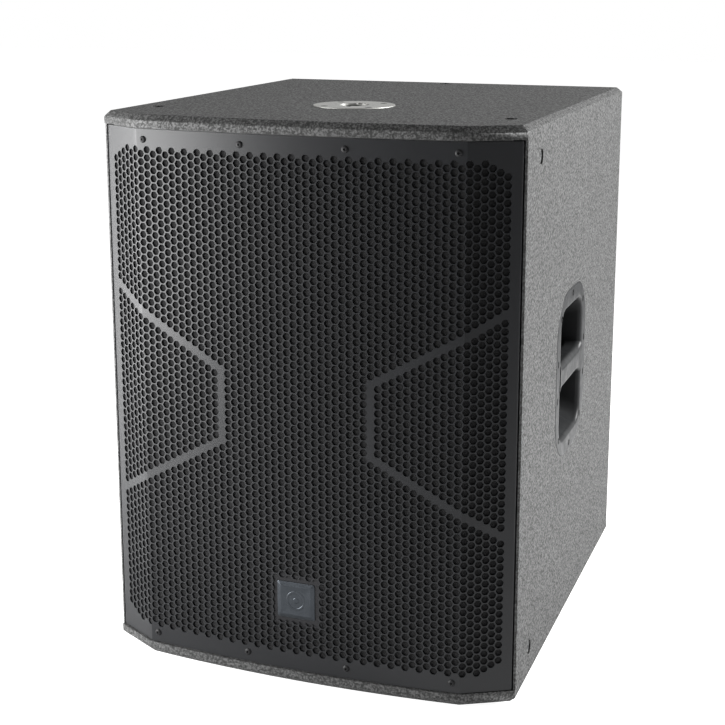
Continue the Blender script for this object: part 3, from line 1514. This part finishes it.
def make_knob(node, x):
    """Fluted knob with a dished top and a painted pointer."""
    count, r = 72, KNOB_R
    flutes = [(1 + math.cos(FLUTES * math.tau * i / count)) / 2 for i in range(count)]
    profile = [(3.2, 0.8, 0), (r - 0.3, 0.8, 0), (r, 1.2, 0), (r, 2.4, 0), (r - 0.2, 3.0, 0.8),
               (r - 0.8, 11.9, 0.8), (r - 1.3, 12.9, 0.4), (r - 2.0, 13.4, 0), (r - 3.0, 13.3, 0),
               (2.0, 12.9, 0)]
    body = lofted([level_ring([polar((radius - cut * flute) * MM, math.tau * i / count)
                               for i, flute in enumerate(flutes)], z * MM) for radius, z, cut in profile])
    outline = [(u, v - 5.2 * MM) for u, v in rounded_ring(0.45 * MM, 2.6 * MM, 0.4 * MM, 3)]
    pointer = lofted([level_ring(outline, z * MM) for z in (12.8, 13.55)])
    place = on_amp(x, KNOB_Z)
    piece(node + "_fluted", mesh_of(node, body, place), node, angle=40)
    painted_mark(node + "_pointer", mesh_of(node + "_mark", pointer, place), node, SLOT_OF[node])


def make_dial_marks():
    """Painted ticks round the two knobs."""
    outline = rounded_ring(0.35 * MM, 1.3 * MM, 0.3 * MM, 3)
    tick = mesh_of("tick", lofted([level_ring(outline, z * MM) for z in (0.0, 0.12)]))
    turns = [math.radians(TICK_STEP * (i - DIAL_TICKS // 2)) for i in range(DIAL_TICKS)]
    places = [on_amp(x, KNOB_Z) @ Matrix.Rotation(turn, 4, "Z") @ Matrix.Translation((0, -TICK_R, 0))
              for x in (LEVEL_X, CROSSOVER_X) for turn in turns]
    painted_mark("dial_ticks", scattered("dial_ticks", tick, places, "amp_panel"), "amp_panel",
                 "button_plastic")


make_knob("level_knob", LEVEL_X)
make_knob("crossover_knob", CROSSOVER_X)
make_dial_marks()
for fitting in ("amp_panel", "heat_sink", "amp_gasket", "audio_inputs", "audio_outputs", "mains_inlet",
                "switch_housing", "switch_rocker", "polarity_button", "upper_latch", "lower_latch"):
    softened(fitting, 0.35)


# ---- camera, floor and light ----

CAMERA_AT = Vector((0.600, -1.703, 0.8145))
CAMERA_YAW, CAMERA_PITCH = math.radians(-20.17), math.radians(-11.92)
CAMERA_LENS, CAMERA_WIDTH = 71.17, 36
FLOOR_HALF = 12.0


def aim(thing, at, toward):
    """Places a camera or lamp so that it looks at a point."""
    thing.location = at
    thing.rotation_mode = "QUATERNION"
    thing.rotation_quaternion = (Vector(toward) - Vector(at)).to_track_quat("-Z", "Y")


def make_camera():
    """Camera with a slightly shifted lens, seen from the front right and above."""
    camera = new_object("camera", bpy.data.cameras.new("camera"))
    level = math.cos(CAMERA_PITCH)
    ahead = Vector((math.sin(CAMERA_YAW) * level, math.cos(CAMERA_YAW) * level, math.sin(CAMERA_PITCH)))
    aim(camera, CAMERA_AT, CAMERA_AT + ahead)
    camera.data.lens = CAMERA_LENS
    camera.data.sensor_width = CAMERA_WIDTH
    camera.data.shift_y = -0.12
    camera.data.clip_start = 0.05
    scene.camera = camera


def lamp(name, at, toward, width, height, power):
    """Soft rectangular lamp that the camera doesn't see."""
    light = bpy.data.lights.new(name, "AREA")
    light.shape = "RECTANGLE"
    light.size, light.size_y = width, height
    light.energy = power
    thing = new_object(name, light)
    aim(thing, at, toward)
    thing.visible_camera = False


def seen(net, *rays):
    """1 for rays of these kinds, else 0."""
    wires = [net.make("ShaderNodeLightPath", out=f"Is {ray} Ray") for ray in rays]
    found = wires[0]
    for wire in wires[1:]:
        found = found.higher(wire)
    return found


def make_stage():
    """White room and white floor: dim as light sources, bright as the camera sees them."""
    scene.world = bpy.data.worlds.new("studio")
    net = cleared_net(scene.world)
    room = net.mixed(seen(net, "Camera", "Glossy", "Transmission"), 0.2, 1.0)
    background = net.make("ShaderNodeBackground", {"Color": room, "Strength": 1.0})
    net.make("ShaderNodeOutputWorld", {"Surface": background})
    points = [(x * FLOOR_HALF, y * FLOOR_HALF, 0) for x, y in ((-1, -1), (1, -1), (1, 1), (-1, 1))]
    floor = new_object("floor", mesh_from("floor", points, [(0, 1, 2, 3)]))
    material = bpy.data.materials.new("floor_white")
    net = cleared_net(material)
    matt = net.make("ShaderNodeBsdfDiffuse", {"Color": colour(0.8)})
    glow = net.make("ShaderNodeEmission", {"Color": colour(1), "Strength": 1.9})
    surface = net.make("ShaderNodeMixShader", {0: seen(net, "Camera") * 0.5, 1: matt, 2: glow})
    net.make("ShaderNodeOutputMaterial", {"Surface": surface})
    floor.data.materials.append(material)
    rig.stage(floor)


make_camera()
make_stage()
lamp("right_window", (1.7, 0.55, 0.98), (0.25, -0.1, 0.5), 0.8, 0.7, 118)
lamp("left_panel", (-1.0, -0.8, 0.45), (0, -0.28, 0.4), 1.0, 0.85, 62)

scene.view_settings.view_transform = "Standard"

low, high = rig.bounds()
with open("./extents.json", "w") as size_file:
    json.dump({"cad": [list(cad_low), list(cad_high)], "visual": [list(low), list(high)]}, size_file)
